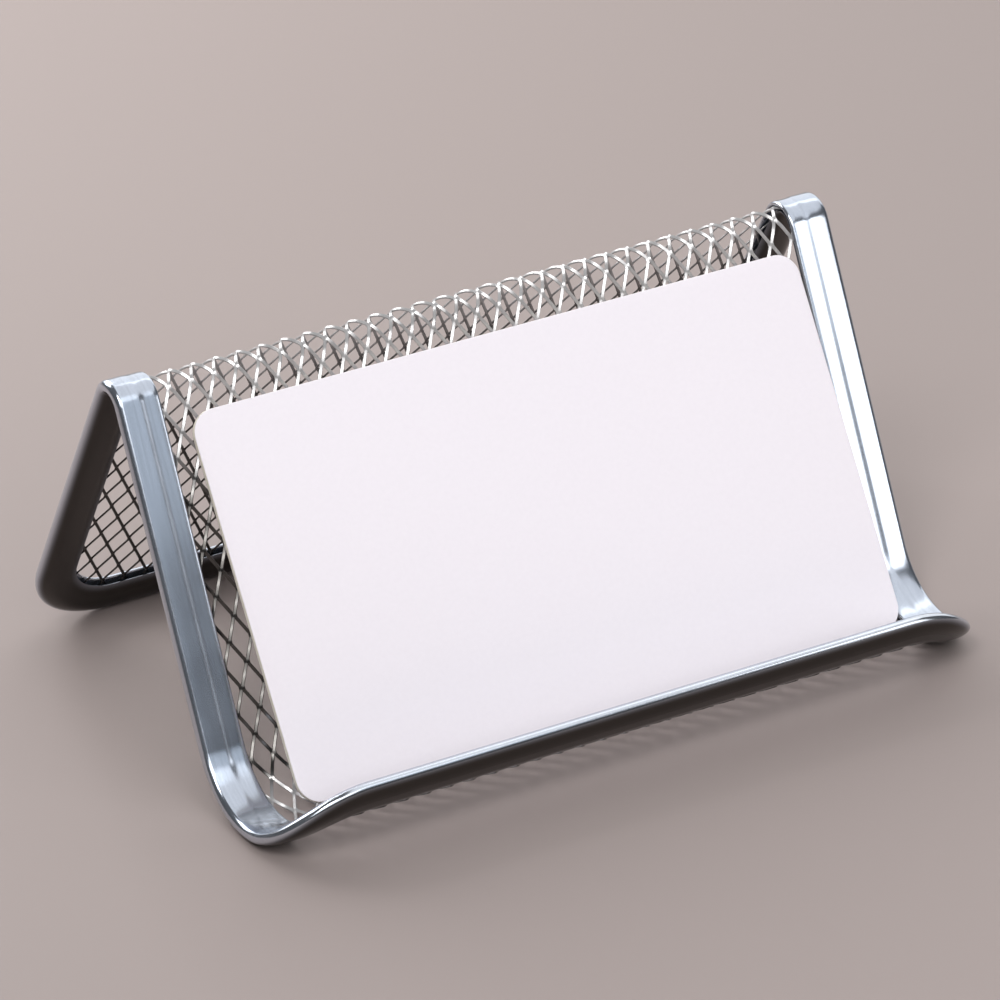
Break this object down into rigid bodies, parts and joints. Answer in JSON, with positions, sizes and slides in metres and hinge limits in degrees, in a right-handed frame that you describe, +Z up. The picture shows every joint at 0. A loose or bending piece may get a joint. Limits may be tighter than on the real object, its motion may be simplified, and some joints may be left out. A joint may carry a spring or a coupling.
{
  "type": "business card holder stand",
  "caption": "Bent expanded-metal desk stand with a rolled sheet-metal rim: a sloping back and a front trough hold a business card.",
  "frame": {"origin": "centre of the footprint on the desk", "axes": "+X to the right along the ridge, +Y to the back, +Z up"},
  "size_m": [0.1046, 0.072, 0.0486],
  "materials": {
    "mesh_paint": "silver satin metallic paint",
    "rim_paint": "silver satin metallic paint",
    "card_stock": "smooth matte white card"
  },
  "bodies": {
    "stand": {"mesh_panel": "mesh_paint", "rim_shell": "rim_paint", "rim_backing": "rim_paint"},
    "card": {"card": "card_stock"}
  },
  "joints": [
    {"name": "card_lift", "type": "slide", "parent": "stand", "child": "card", "axis": [0, 0.4617, 0.887], "range_m": [0, 0.06]}
  ]
}
